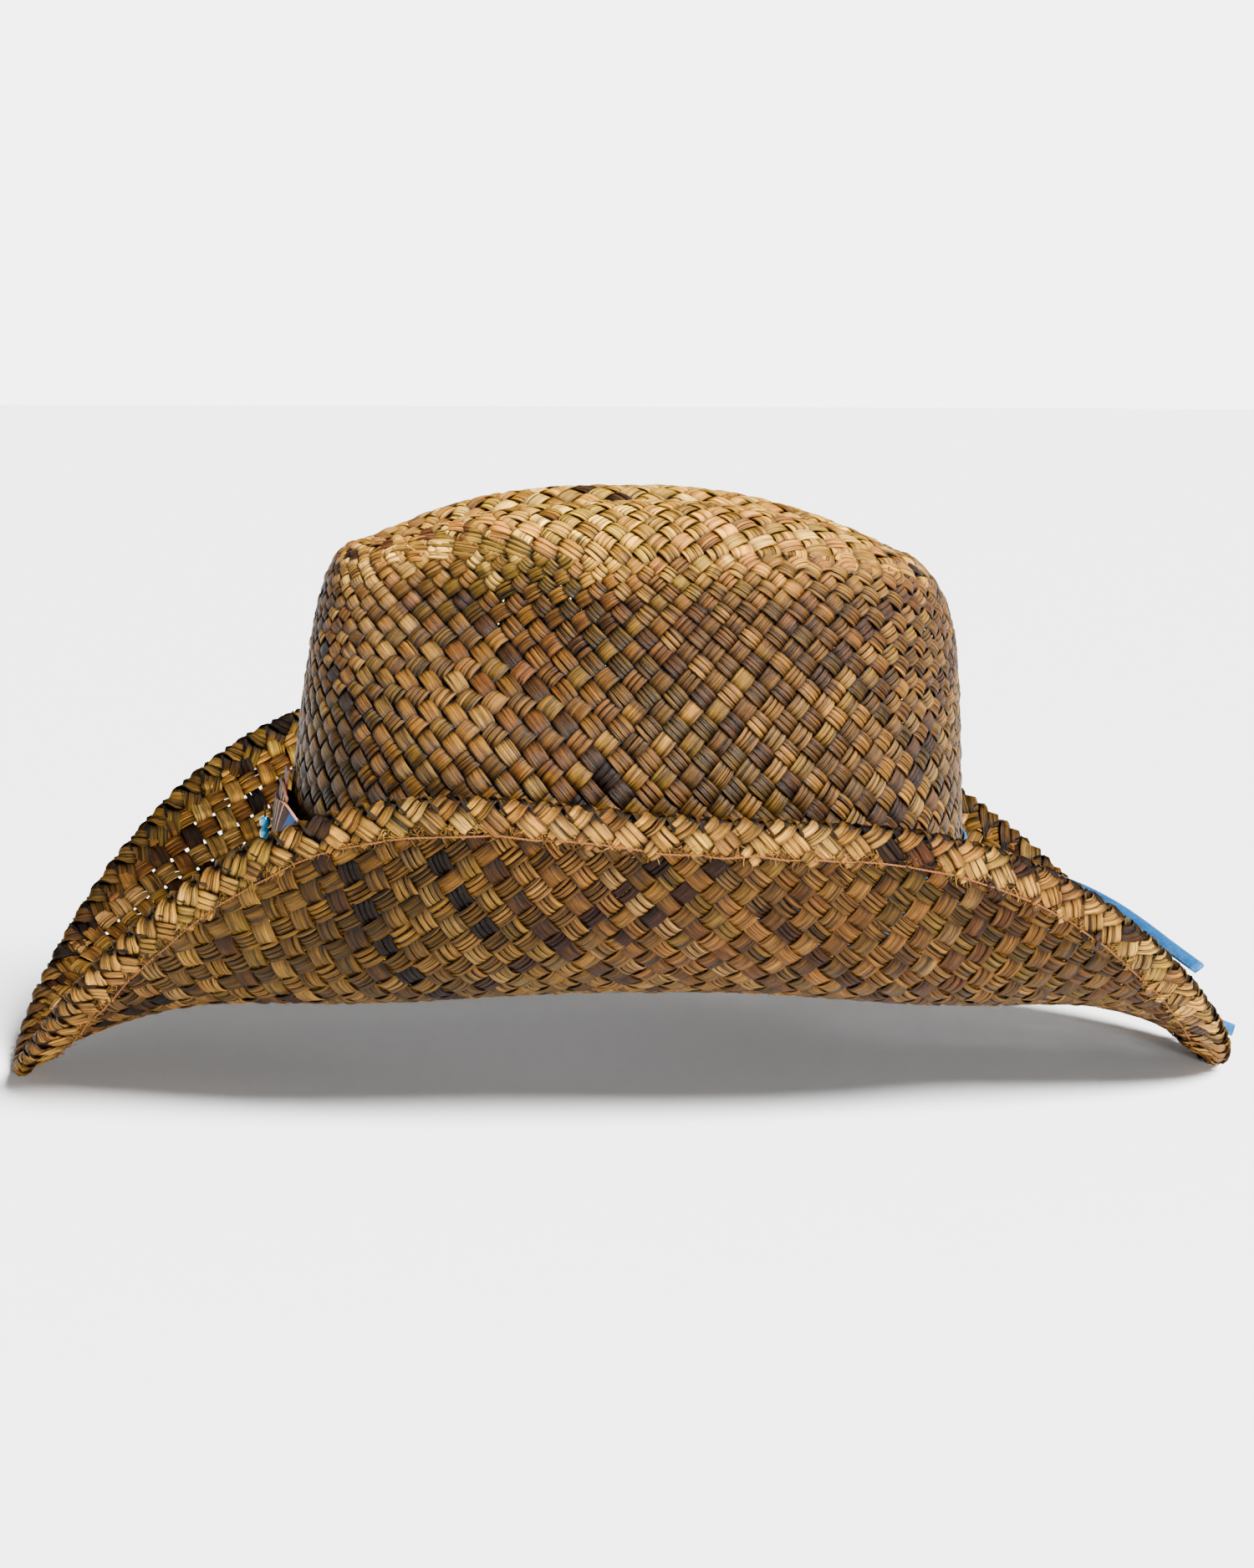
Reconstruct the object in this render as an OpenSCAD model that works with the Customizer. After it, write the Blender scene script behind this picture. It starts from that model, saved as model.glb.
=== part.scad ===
// Woven raffia cowboy hat, pinch-front crown, side-rolled brim, suede band with two lace tails.
// Front of the hat points to -Y, the wearer's left is +X, and +Z is up.
// Origin: middle of the footprint, on the surface that the brim's front and back tips rest on.

/* [Crown] */
// Half length of the crown's foot, front to back
base_half_len = 103.5; // [95:0.5:108]
// Half width of the crown's foot
base_half_wid = 84; // [76:0.5:90]
// Half length of the tip at the front
tip_half_front = 90.75; // [84:0.25:96]
// Half length of the tip at the back
tip_half_back = 100.25; // [92:0.25:104]
// Half width of the tip before it is creased
tip_half_wid = 72; // [64:0.5:78]
// Height of the tip before it is creased
tip_z = 176.5; // [160:0.5:186]
// Depth of the centre crease
crease_depth = 24; // [10:1:30]
// Depth of each side dent
dent_depth = 18; // [6:1:20]
// Thickness of the woven shell
weave_t = 2.4; // [1.6:0.2:3]

/* [Brim] */
// Half length of the brim, front to back
brim_half_len = 184; // [170:0.5:195]
// Half width of the rolled brim
brim_half_wid = 143.5; // [130:0.5:155]
// Mean height of the brim's edge
edge_mean = 62.4; // [58:0.1:66]
// Width of the hem that is turned under the edge
hem_w = 10; // [6:1:14]
// Diameter of the wire in the hem
wire_d = 1.6; // [1:0.1:1.6]

/* [Trim] */
// Height of the suede band
band_h = 17; // [12:1:20]
// Thickness of the suede band
band_t = 1.4; // [1:0.1:2]
// Height of the inner sweatband
sweat_h = 32; // [24:1:38]
// Thickness of the inner sweatband
sweat_t = 1; // [0.8:0.1:1.6]
// Thickness of each leather fan
fan_t = 1; // [0.8:0.1:1.2]
// Diameter of a turquoise bead
bead_d = 3.4; // [2.6:0.1:4]
// Width of a lace tail
lace_w = 4; // [3:0.1:5]

/* [Hidden] */

half_t = weave_t / 2;
foot_mean = 46;                 // mean height of the ring where crown and brim meet
foot_wave = 7;                  // that ring is higher at the front and back by this much
foot_lift = 1.9;                // the crown stands this far above the ring's mid-surface
edge_waves = [4, -46, -3.5, -14, -0.5];   // 1st to 5th harmonic of the edge's height
brim_arc = 95;                  // width of the brim along its surface
skin_gap = 0.2;                 // gap between the woven shell and the bands on it
hem_t = 1.2;
hem_gap = 0.05;                 // gap between the brim and the strip turned under it
thread_r = 0.35;
thread_gap = 0.02;              // gap between a thread and the strip that it lies on
crown_steps = 72;
crown_rows = 23;
brim_steps = 96;

raffia = "peru";
suede = "steelblue";
leather = "darksalmon";

// ---- shape functions ----
function smooth(a, b, x) = let(t = min(max((x - a) / (b - a), 0), 1)) t * t * (3 - 2 * t);
function unit(v) = v / norm(v);
function out_dir(f) = [sin(f), -cos(f), 0];
function part_of(c, half, n) = pow(max(abs(c) / half, 1e-6), n);
function oval(f, front, back, side, n) =
    pow(part_of(cos(f), cos(f) > 0 ? front : back, n) + part_of(sin(f), side, n), -1 / n);

function foot_r(f) = oval(f, base_half_len, base_half_len, base_half_wid, 2.2);
function tip_r(f) = oval(f, tip_half_front, tip_half_back, tip_half_wid, 2.2);
function foot_z(f) = foot_mean + foot_wave * cos(2 * f);
function edge_r(f) = oval(f, brim_half_len, brim_half_len, brim_half_wid, 2.3);
function edge_z(f) = edge_mean
    + edge_waves[0] * cos(f)
    + edge_waves[1] * cos(2 * f)
    + edge_waves[2] * cos(3 * f)
    + edge_waves[3] * cos(4 * f)
    + edge_waves[4] * cos(5 * f);

// Plain crown wall at angle f and height z, moved outwards by off.
function wall_pt(f, z, off) =
    let(z0 = foot_z(f) + foot_lift, h = (z - z0) / (tip_z - z0))
    out_dir(f) * (foot_r(f) * (1 - h) + tip_r(f) * h + off) + [0, 0, z];

// Crown before it is shaped: e is 0 at the foot and 90 at the middle of the tip.
function dome_pt(f, e) =
    let(p = 8 + 3 * cos(2 * f),
        rho = pow(pow(cos(e), p) + pow(sin(e), p), -1 / p),
        h = rho * sin(e),
        z0 = foot_z(f) + foot_lift,
        r = rho * cos(e) * (foot_r(f) * (1 - h) + tip_r(f) * h))
    out_dir(f) * r + [0, 0, z0 + (tip_z - z0) * h];

// Narrow the tip to the front.
function narrowed(p) = [p.x * (1 - 0.42 * smooth(105, 165, p.z) * smooth(8, -97, p.y)), p.y, p.z];

// Arch the tip from front to back and press the centre crease into it.
function creased(p) =
    let(up = smooth(95, 172, p.z),
        arch = p.y < 0 ? 11 * pow(-p.y / 90, 1.7) : 21 * pow(p.y / 97, 2),
        run = smooth(-90, -52, p.y) * smooth(90, 53, p.y))
    [p.x, p.y, p.z - up * (arch + crease_depth * run * exp(-pow(p.x / 17, 2)))];

// Pinch the two sides near the front.
dent_y = -45;
dent_z = 138;
function dented(p) =
    let(g = exp(-pow((p.y - dent_y) / 37, 2) - pow((p.z - dent_z) / 23, 2)))
    [p.x - sign(p.x) * dent_depth * g * smooth(10, 44, abs(p.x)), p.y, p.z];

function crown_mid(f, e) = dented(creased(narrowed(dome_pt(f, e))));
function crown_out(f, e) = e > 89.9 ? [0, 0, 1]
    : unit(cross(crown_mid(f + 0.5, e) - crown_mid(f - 0.5, e),
                 crown_mid(f, e + 0.05) - crown_mid(f, max(e - 0.05, 0))));
function crown_pt(f, e, off) = crown_mid(f, e) + crown_out(f, e) * off;

// Brim section: a cubic curve from the foot ring (t = 0) to the edge (t = 1).
function bezier(a, b, c, d, t) =
    let(u = 1 - t) a * u * u * u + b * 3 * u * u * t + c * 3 * u * t * t + d * t * t * t;
function brim_mid(f, t) =
    let(leave = -20 - 8 * cos(2 * f) + 10 * cos(4 * f),
        arrive = -50 + 123 * pow(max(edge_z(f), 0) / 96, 0.6),
        l1 = 38 - 7 * cos(4 * f),
        l2 = 41 - 6 * cos(4 * f),
        a = [foot_r(f), foot_z(f)],
        d = [edge_r(f), edge_z(f)],
        q = bezier(a, a + l1 * [cos(leave), sin(leave)], d - l2 * [cos(arrive), sin(arrive)], d, t))
    out_dir(f) * q.x + [0, 0, q.y];
function brim_along(f, t) = unit(brim_mid(f, t + 0.01) - brim_mid(f, t - 0.01));
function brim_up(f, t) = unit(cross(brim_along(f, t), brim_mid(f + 0.5, t) - brim_mid(f - 0.5, t)));
function brim_pt(f, t, off) = brim_mid(f, t) + brim_up(f, t) * off;
function edge_pt(f, out, up) = brim_mid(f, 1) + brim_along(f, 1) * out + brim_up(f, 1) * up;

// ---- solids from rows of points ----
// A section's points run clockwise as seen along the sweep.
function side_faces(rows, n, closed) =
    [for (i = [0 : rows - (closed ? 1 : 2)], j = [0 : n - 1])
        let(a = i * n + j,
            b = i * n + (j + 1) % n,
            c = ((i + 1) % rows) * n + j,
            d = ((i + 1) % rows) * n + (j + 1) % n)
        each [[a, c, d], [a, d, b]]];

module ring_solid(sections) {
    n = len(sections[0]);
    polyhedron([for (s = sections) each s], side_faces(len(sections), n, true), 10);
}

module strip_solid(sections) {
    n = len(sections[0]);
    rows = len(sections);
    first = [for (j = [0 : n - 1]) j];
    last = [for (j = [n - 1 : -1 : 0]) (rows - 1) * n + j];
    polyhedron([for (s = sections) each s], concat(side_faces(rows, n, false), [first, last]), 10);
}

function turn(steps, i) = 360 * i / steps;

// ---- woven body ----
module crown() {
    rows = crown_rows;
    function lift(j) = 90 * pow(j / rows, 0.9);
    outer = [for (i = [0 : crown_steps - 1], j = [0 : rows - 1]) crown_pt(turn(crown_steps, i), lift(j), half_t)];
    inner = [for (i = [0 : crown_steps - 1], j = [0 : rows - 1]) crown_pt(turn(crown_steps, i), lift(j), -half_t)];
    tips = [crown_pt(0, 90, half_t), crown_pt(0, 90, -half_t)];
    skin = crown_steps * rows;
    function at(i, j) = (i % crown_steps) * rows + j;
    cells = [for (i = [0 : crown_steps - 1], j = [0 : rows - 2]) [at(i, j), at(i, j + 1), at(i + 1, j + 1), at(i + 1, j)]];
    out_faces = [for (c = cells) each [[c[0], c[1], c[2]], [c[0], c[2], c[3]]]];
    in_faces = [for (t = out_faces) [t[2] + skin, t[1] + skin, t[0] + skin]];
    out_cap = [for (i = [0 : crown_steps - 1]) [at(i, rows - 1), 2 * skin, at(i + 1, rows - 1)]];
    in_cap = [for (t = out_cap) [t[2] + skin, 2 * skin + 1, t[0] + skin]];
    foot = [for (i = [0 : crown_steps - 1])
        let(a = at(i, 0), b = at(i + 1, 0))
        each [[a, b, b + skin], [a, b + skin, a + skin]]];
    color(raffia)
    polyhedron(concat(outer, inner, tips), concat(out_faces, in_faces, out_cap, in_cap, foot), 10);
}

module brim() {
    cols = 12;
    start = -0.012;
    stop = 1 - (wire_d + 0.2) / brim_arc;
    function across(j) = start + (stop - start) * j / cols;
    color(raffia)
    ring_solid([for (i = [0 : brim_steps - 1])
        let(f = turn(brim_steps, i))
        concat([for (j = [0 : cols]) brim_pt(f, across(j), half_t)],
               [for (j = [cols : -1 : 0]) brim_pt(f, across(j), -half_t)])]);
}

// Ends of the strands, folded over the edge and turned under it.
module hem() {
    inner = half_t + hem_gap;
    outer = inner + hem_t;
    turned = [1, 1 - hem_w / 2 / brim_arc, 1 - hem_w / brim_arc];
    color("burlywood")
    ring_solid([for (i = [0 : brim_steps - 1])
        let(f = turn(brim_steps, i))
        concat([edge_pt(f, 0, half_t), edge_pt(f, 0.7, half_t), edge_pt(f, hem_t, 0.6),
                edge_pt(f, hem_t, -1.5), edge_pt(f, 0.5, -outer)],
               [for (k = [1 : 2]) brim_pt(f, turned[k], -outer)],
               [for (k = [2 : -1 : 0]) brim_pt(f, turned[k], -inner)])]);
}

// A round thread or wire that runs once round the hat.
function hoop(steps, sides, r, centre, along, up) =
    [for (i = [0 : steps - 1])
        let(f = turn(steps, i))
        [for (k = [0 : sides - 1])
            let(a = -360 * k / sides)
            centre(f) + along(f) * r * cos(a) + up(f) * r * sin(a)]];

module hem_wire() {
    color("dimgray")
    ring_solid(hoop(brim_steps, 6, wire_d / 2,
        function(f) edge_pt(f, -wire_d / 2 - 0.1, 0),
        function(f) brim_along(f, 1),
        function(f) brim_up(f, 1)));
}

module hem_stitching() {
    t = 1 - 0.75 * hem_w / brim_arc;
    below = -(half_t + hem_gap + hem_t + thread_r + thread_gap);
    color("tan")
    ring_solid(hoop(brim_steps, 5, thread_r,
        function(f) brim_pt(f, t, below),
        function(f) brim_along(f, t),
        function(f) brim_up(f, t)));
}

// ---- bands round the crown ----
// A band on the wall: low and high are heights above the foot ring, near and far are offsets.
function band_sections(low, high, near, far) =
    [for (i = [0 : crown_steps - 1])
        let(f = turn(crown_steps, i), z = foot_z(f), mid = (low + high) / 2)
        [wall_pt(f, z + high, near), wall_pt(f, z + high, far), wall_pt(f, z + mid, far),
         wall_pt(f, z + low, far), wall_pt(f, z + low, near), wall_pt(f, z + mid, near)]];

sweat_out = -(half_t + skin_gap);
sweat_in = sweat_out - sweat_t;
band_in = half_t + skin_gap;
band_out = band_in + band_t;
band_lift = 3;                  // the suede band starts this far above the foot ring
sweat_lift = 2.5;               // the sweatband starts this far above the foot ring

module sweatband() {
    color("saddlebrown")
    ring_solid(band_sections(sweat_lift, sweat_lift + sweat_h, sweat_in, sweat_out));
}

module sweatband_stitching() {
    color("tan")
    ring_solid(hoop(crown_steps, 5, thread_r,
        function(f) wall_pt(f, foot_z(f) + 2 * sweat_lift, sweat_in - thread_r - thread_gap),
        function(f) out_dir(f),
        function(f) [0, 0, 1]));
}

module hatband() {
    color(suede)
    ring_solid(band_sections(band_lift, band_lift + band_h, band_in, band_out));
}

// The band's ends are tied in a flat knot at the back.
knot_z = 60;
knot_y = wall_pt(180, knot_z, band_out).y;
module rounded_bar(len, r) {
    cylinder(h = len, r = r, center = true, $fn = 32);
    for (end = [-1, 1]) translate([0, 0, end * len / 2]) sphere(r, $fn = 32);
}
module hatband_knot() {
    r = 3.4;
    color(suede)
    translate([0, knot_y + r + 0.1, knot_z]) {
        rotate([0, 80, 0]) rounded_bar(10, r);
        translate([0, 1.2, 0]) rounded_bar(7, r * 0.9);
    }
}

// ---- lace tails ----
// Routes of the two tails, from the knot outwards.
left_route = [[6, 112, 61], [12, 115, 61.7], [18, 118.8, 62.1], [24, 122.5, 62.1], [30, 126.2, 61.8],
              [36, 129.9, 61.2], [42, 133.5, 60.3], [48, 137, 59.1], [54, 140.4, 57.6], [60, 143.8, 55.8],
              [66, 147.2, 53.6], [72, 150.6, 51.2], [78, 154, 48.6], [84, 157.6, 46], [90, 161.3, 43.4]];
right_route = [[-5, 113, 58], [-8, 117, 55], [-11, 121, 51.4], [-13.5, 126, 47.4], [-16, 131, 43.6], [-18, 136, 40],
               [-20, 141, 36.6], [-21.5, 146, 33.1], [-22.5, 151, 29.6], [-23.5, 156, 26.2], [-24.5, 161, 22.9],
               [-25, 166, 19.7], [-25.5, 171, 16.8], [-26, 176, 14.1], [-26, 181, 11.5], [-26, 186, 9.1],
               [-26, 192, 6.5], [-26, 198.5, 3.8]];

function route_dir(p, i) = unit(p[min(i + 1, len(p) - 1)] - p[max(i - 1, 0)]);
module lace(route) {
    sides = 8;
    color(suede)
    strip_solid([for (i = [0 : len(route) - 1])
        let(d = route_dir(route, i), right = unit(cross(d, [0, 0, 1])), up = cross(right, d))
        [for (k = [0 : sides - 1])
            let(a = -360 * k / sides)
            route[i] + (right * cos(a) + up * sin(a)) * lace_w / 2]]);
}

module lace_tail_left() {
    lace(left_route);
}

module lace_tail_right() {
    lace(right_route);
}

// ---- front ornament ----
fan_z = 58;                     // the point that the fans' rays start from
fan_gap = 0.1;
fan_start = 0.3;                // a fan starts at this share of its rays' length
fan_in = band_out + fan_gap;
// Layer k of the fan: it spans +-spread degrees, and its rays grow from ray to ray + flare.
module fan(k, spread, ray, flare, steps) {
    near = fan_in + k * (fan_t + fan_gap);
    far = near + fan_t;
    cols = 4;
    function spot(a, q, off) =
        let(r = (ray + flare * pow(a / spread, 2)) * q,
            z = fan_z + r * cos(a),
            f = r * sin(a) / base_half_len * 180 / PI)
        wall_pt(f, z, off);
    color(leather)
    strip_solid([for (i = [0 : steps])
        let(a = spread * (2 * i / steps - 1))
        concat([for (j = [cols : -1 : 0]) spot(a, fan_start + (1 - fan_start) * j / cols, near)],
               [for (j = [0 : cols]) spot(a, fan_start + (1 - fan_start) * j / cols, far)])]);
}

module fan_rear() {
    fan(0, 13, 35, 0, 6);
}

module fan_middle() {
    fan(1, 32, 31, 1, 12);
}

module fan_front() {
    fan(2, 58, 26, 15, 20);
}

// ---- beads ----
bead_x = -1;
bead_y = wall_pt(0, 73, fan_in + 3 * (fan_t + fan_gap)).y - bead_d / 2 - 0.1;
bead_low_z = 72;
bead_step = 3.7;
thread_len = 14;
bore_r = 0.5;

module bead() {
    r = bead_d / 2;
    rotate_extrude($fn = 32)
    polygon([[bore_r, -r], [r * 0.62, -r], [r * 0.93, -r * 0.5], [r, 0], [r * 0.93, r * 0.5], [r * 0.62, r], [bore_r, r]]);
}

module bead_lower() {
    color("deepskyblue")
    translate([bead_x, bead_y, bead_low_z]) bead();
}

module bead_upper() {
    color("turquoise")
    translate([bead_x, bead_y, bead_low_z + bead_step]) bead();
}

module bead_thread() {
    color("sienna")
    translate([bead_x, bead_y, bead_low_z + bead_step / 2 - thread_len / 2])
    cylinder(h = thread_len, r = thread_r, $fn = 24);
}

crown();
brim();
hem();
hem_wire();
hem_stitching();
sweatband();
sweatband_stitching();
hatband();
hatband_knot();
lace_tail_left();
lace_tail_right();
fan_rear();
fan_middle();
fan_front();
bead_lower();
bead_upper();
bead_thread();
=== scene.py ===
import math

import bpy
import numpy as np
from mathutils import Matrix, Vector


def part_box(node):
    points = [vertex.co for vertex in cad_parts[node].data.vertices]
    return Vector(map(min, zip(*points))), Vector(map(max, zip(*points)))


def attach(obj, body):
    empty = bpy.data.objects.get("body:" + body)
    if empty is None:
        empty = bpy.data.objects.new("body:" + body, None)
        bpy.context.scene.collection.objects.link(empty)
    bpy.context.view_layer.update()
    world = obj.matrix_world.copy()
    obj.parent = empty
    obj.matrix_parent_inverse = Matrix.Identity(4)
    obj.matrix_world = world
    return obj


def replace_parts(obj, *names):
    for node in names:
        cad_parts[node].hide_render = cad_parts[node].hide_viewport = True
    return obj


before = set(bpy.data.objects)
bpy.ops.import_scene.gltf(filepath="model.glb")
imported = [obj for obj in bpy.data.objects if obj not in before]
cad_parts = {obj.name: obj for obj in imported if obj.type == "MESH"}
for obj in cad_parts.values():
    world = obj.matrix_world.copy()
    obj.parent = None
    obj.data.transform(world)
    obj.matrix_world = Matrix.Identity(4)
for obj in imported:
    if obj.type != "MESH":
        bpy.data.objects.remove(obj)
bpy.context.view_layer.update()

MM = 0.001
TAU = 2 * math.pi
rng = np.random.default_rng(29)

# Camera: where it stands round the hat, and its lens
CAM_AZIMUTH = math.radians(84.3)
CAM_ELEVATION = math.radians(7.3)
CAM_DISTANCE = 1.5
CAM_TARGET = Vector((0, 0.00125, 0.087))
CAM_LENS = 112.2
CAM_ROLL = 0.0085

# Lace tails: width and thickness in millimetres, and the CAD tubes' routes in metres
LACE_W = 4.0
LACE_T = 1.7
LACE_FACE = (0.9, 0.0, 0.45)
LEFT_ROUTE = [
    (0.006, 0.112, 0.061), (0.012, 0.115, 0.0617), (0.018, 0.1188, 0.0621), (0.024, 0.1225, 0.0621),
    (0.030, 0.1262, 0.0618), (0.036, 0.1299, 0.0612), (0.042, 0.1335, 0.0603), (0.048, 0.137, 0.0591),
    (0.054, 0.1404, 0.0576), (0.060, 0.1438, 0.0558), (0.066, 0.1472, 0.0536), (0.072, 0.1506, 0.0512),
    (0.078, 0.154, 0.0486), (0.084, 0.1576, 0.046), (0.090, 0.1613, 0.0434)]
RIGHT_ROUTE = [
    (-0.005, 0.113, 0.058), (-0.008, 0.117, 0.055), (-0.011, 0.121, 0.0514), (-0.0135, 0.126, 0.0474),
    (-0.016, 0.131, 0.0436), (-0.018, 0.136, 0.040), (-0.020, 0.141, 0.0366), (-0.0215, 0.146, 0.0331),
    (-0.0225, 0.151, 0.0296), (-0.0235, 0.156, 0.0262), (-0.0245, 0.161, 0.0229), (-0.025, 0.166, 0.0197),
    (-0.0255, 0.171, 0.0168), (-0.026, 0.176, 0.0141), (-0.026, 0.181, 0.0115), (-0.026, 0.186, 0.0091),
    (-0.026, 0.192, 0.0065), (-0.026, 0.1985, 0.0038)]

# The hat's shape in millimetres and radians: f is 0 at the front (-Y) and a quarter turn at +X
TIP_Z = 176.5
# Ovals: reach to the front, the back and the sides, and exponent
FOOT = (103.5, 103.5, 84.0, 2.2)
TIP = (90.75, 100.25, 72.0, 2.2)
EDGE = (184.0, 184.0, 143.5, 2.3)
FOOT_LIFT = 1.9
EDGE_WAVES = (62.4, 4.0, -46.0, -3.5, -14.0, -0.5)  # cosines of the edge's height

# The weave's lattice: half sizes of the tip's grid, rows on the wall, and the brim's unit
GRID_X, GRID_Y = 8, 9
WALL_ROWS = 14
ROUND = 4 * (GRID_X + GRID_Y)
BRIM_UNIT = 9.3
STEPS = 6
WEAVE_H = 0.78
STRAND_T = 0.45
SNUG_NEAR, SNUG_FAR = 1.08, 0.97  # width of the brim's strands on the +X side and on the other


# ---- small helpers ----
def smooth(a, b, x):
    t = np.clip((x - a) / (b - a), 0, 1)
    return t * t * (3 - 2 * t)


def unit(v):
    return v / np.maximum(np.linalg.norm(v, axis=-1, keepdims=True), 1e-9)


def run_of(points):
    """Distance along a line of points, or along each row of a grid, from the first one."""
    steps = np.linalg.norm(np.diff(points, axis=-2), axis=-1)
    return np.concatenate([0 * steps[..., :1], np.cumsum(steps, axis=-1)], -1)


def out_dir(f):
    return np.stack([np.sin(f), -np.cos(f), np.zeros_like(f)], -1)


def oval(f, front, back, side, n):
    long = np.where(np.cos(f) > 0, front, back)
    return (np.abs(np.cos(f) / long) ** n + np.abs(np.sin(f) / side) ** n) ** (-1 / n)


def foot_z(f):
    return 46 + 7 * np.cos(2 * f)


# ---- crown ----
def crown_mid(f, e):
    """Middle of the woven crown: e is 0 at the foot and a quarter turn at the middle of the tip."""
    p = 8 + 3 * np.cos(2 * f)
    rho = (np.cos(e) ** p + np.sin(e) ** p) ** (-1 / p)
    h = rho * np.sin(e)
    z0 = foot_z(f) + FOOT_LIFT
    r = rho * np.cos(e) * (oval(f, *FOOT) * (1 - h) + oval(f, *TIP) * h)
    x, y, z = r * np.sin(f), -r * np.cos(f), z0 + (TIP_Z - z0) * h
    x = x * (1 - 0.42 * smooth(105, 165, z) * smooth(8, -97, y))
    up = smooth(95, 172, z)
    arch = np.where(y < 0, 11 * (np.maximum(-y, 0) / 90) ** 1.7, 21 * (y / 97) ** 2)
    run = smooth(-90, -52, y) * smooth(90, 53, y)
    z = z - up * (arch + 24 * run * np.exp(-((x / 17) ** 2)))
    g = np.exp(-(((y + 45) / 37) ** 2) - ((z - 138) / 23) ** 2)
    x = x - np.sign(x) * 18 * g * smooth(10, 44, np.abs(x))
    return np.stack([x, y, z], -1)


def wall_point(f, z, off):
    """Plain lower wall of the crown at height z, moved outwards by off."""
    z0 = foot_z(f) + FOOT_LIFT
    h = (z - z0) / (TIP_Z - z0)
    r = oval(f, *FOOT) * (1 - h) + oval(f, *TIP) * h + off
    point = out_dir(f) * r[..., None]
    point[..., 2] = z
    return point


# ---- brim ----
def edge_z(f):
    return sum(c * np.cos(i * f) for i, c in enumerate(EDGE_WAVES))


def brim_mid(f, t):
    """Middle of the woven brim: t is 0 at the foot and 1 at the edge."""
    a = (oval(f, *FOOT), foot_z(f))
    d = (oval(f, *EDGE), edge_z(f))
    leave = np.radians(-20 - 8 * np.cos(2 * f) + 10 * np.cos(4 * f))
    arrive = np.radians(-50 + 123 * (np.maximum(d[1], 0) / 96) ** 0.6)
    l1 = 38 - 7 * np.cos(4 * f)
    l2 = 41 - 6 * np.cos(4 * f)
    b = (a[0] + l1 * np.cos(leave), a[1] + l1 * np.sin(leave))
    c = (d[0] - l2 * np.cos(arrive), d[1] - l2 * np.sin(arrive))
    u = 1 - t
    r, z = (a[i] * u**3 + 3 * b[i] * u * u * t + 3 * c[i] * u * t * t + d[i] * t**3 for i in (0, 1))
    point = out_dir(f) * r[..., None]
    point[..., 2] = z
    return point


class Widths:
    """Distance along the brim's surface from the foot, looked up by angle."""
    angles = np.linspace(0, TAU, 361)
    shares = np.linspace(0, 1, 61)
    grid = brim_mid(angles[:, None], shares)
    run = run_of(grid)


def brim_width(f):
    return np.interp(np.mod(f, TAU), Widths.angles, Widths.run[:, -1])


def brim_share(f, dist):
    """Share t of the brim's section that lies dist from the foot."""
    at = np.mod(f, TAU) / TAU * 360
    i = np.minimum(at.astype(int), 359)
    k = (at - i)[..., None]
    run = Widths.run[i] * (1 - k) + Widths.run[i + 1] * k
    below = np.clip((run < dist[..., None]).sum(-1), 1, 60)
    lo = np.take_along_axis(run, below[..., None] - 1, -1)[..., 0]
    hi = np.take_along_axis(run, below[..., None], -1)[..., 0]
    return (below - 1 + (dist - lo) / (hi - lo)) / 60


def brim_frame(f, dist):
    """Point, upward normal and outward tangent of the brim's middle, dist from the foot."""
    t = brim_share(f, dist)
    point = brim_mid(f, t)
    along = unit(brim_mid(f, t + 0.01) - brim_mid(f, t - 0.01))
    around = brim_mid(f + 0.01, t) - brim_mid(f - 0.01, t)
    return point, unit(np.cross(along, around)), along


# ---- lattice of crossings ----
def perimeter_point(s):
    """Point of the grid's outline at s, counted counterclockwise from the front right corner."""
    s = s % ROUND
    w, h = 2 * GRID_X, 2 * GRID_Y
    if s <= h:
        return GRID_X, s - GRID_Y
    if s <= h + w:
        return GRID_X - (s - h), GRID_Y
    if s <= 2 * h + w:
        return -GRID_X, GRID_Y - (s - h - w)
    return s - 2 * h - w - GRID_X, -GRID_Y


def perimeter_run(x, y):
    """How far along the outline a crossing on it lies."""
    return next(s + 0.5 for s in range(ROUND) if perimeter_point(s + 0.5) == (x, y))


def perimeter_side(s):
    """Which side of the outline s is on: 0 right, 1 back, 2 left, 3 front."""
    s = s % ROUND
    return int(np.searchsorted([2 * GRID_Y, 2 * (GRID_X + GRID_Y), 4 * GRID_Y + 2 * GRID_X], s))


def tip_angle_and_radius(x, y):
    """Square grid spread over a round tip."""
    u = x / GRID_X * np.sqrt(1 - (y / GRID_Y) ** 2 / 2)
    v = y / GRID_Y * np.sqrt(1 - (x / GRID_X) ** 2 / 2)
    return np.arctan2(TIP[2] * u, -TIP[0] * v), np.hypot(u, v)


def tip_map(x, y):
    f, q = tip_angle_and_radius(x, y)
    return crown_mid(f, math.pi / 2 - np.arctan(np.minimum(q, 1.2)))


class Foot:
    """Angle round the foot ring by distance, from the middle of the +X side."""
    angles = np.linspace(math.pi / 2, math.pi / 2 + TAU, 1441)
    ring = out_dir(angles) * oval(angles, *FOOT)[:, None]
    run = run_of(ring)


def foot_angle(s):
    share = ((s - GRID_Y) % ROUND) / ROUND
    return np.interp(share * Foot.run[-1], Foot.run, Foot.angles)


def wall_map(s, h):
    corner = np.array([perimeter_point(v) for v in np.ravel(s)], float).reshape(np.shape(s) + (2,))
    at_tip = tip_angle_and_radius(corner[..., 0], corner[..., 1])[0]
    at_foot = foot_angle(s)
    turn = (at_tip - at_foot + math.pi) % TAU - math.pi
    f = at_foot + turn * (1 - smooth(0, 7, h))
    return crown_mid(f, np.arctan(1 - h / WALL_ROWS))


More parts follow.
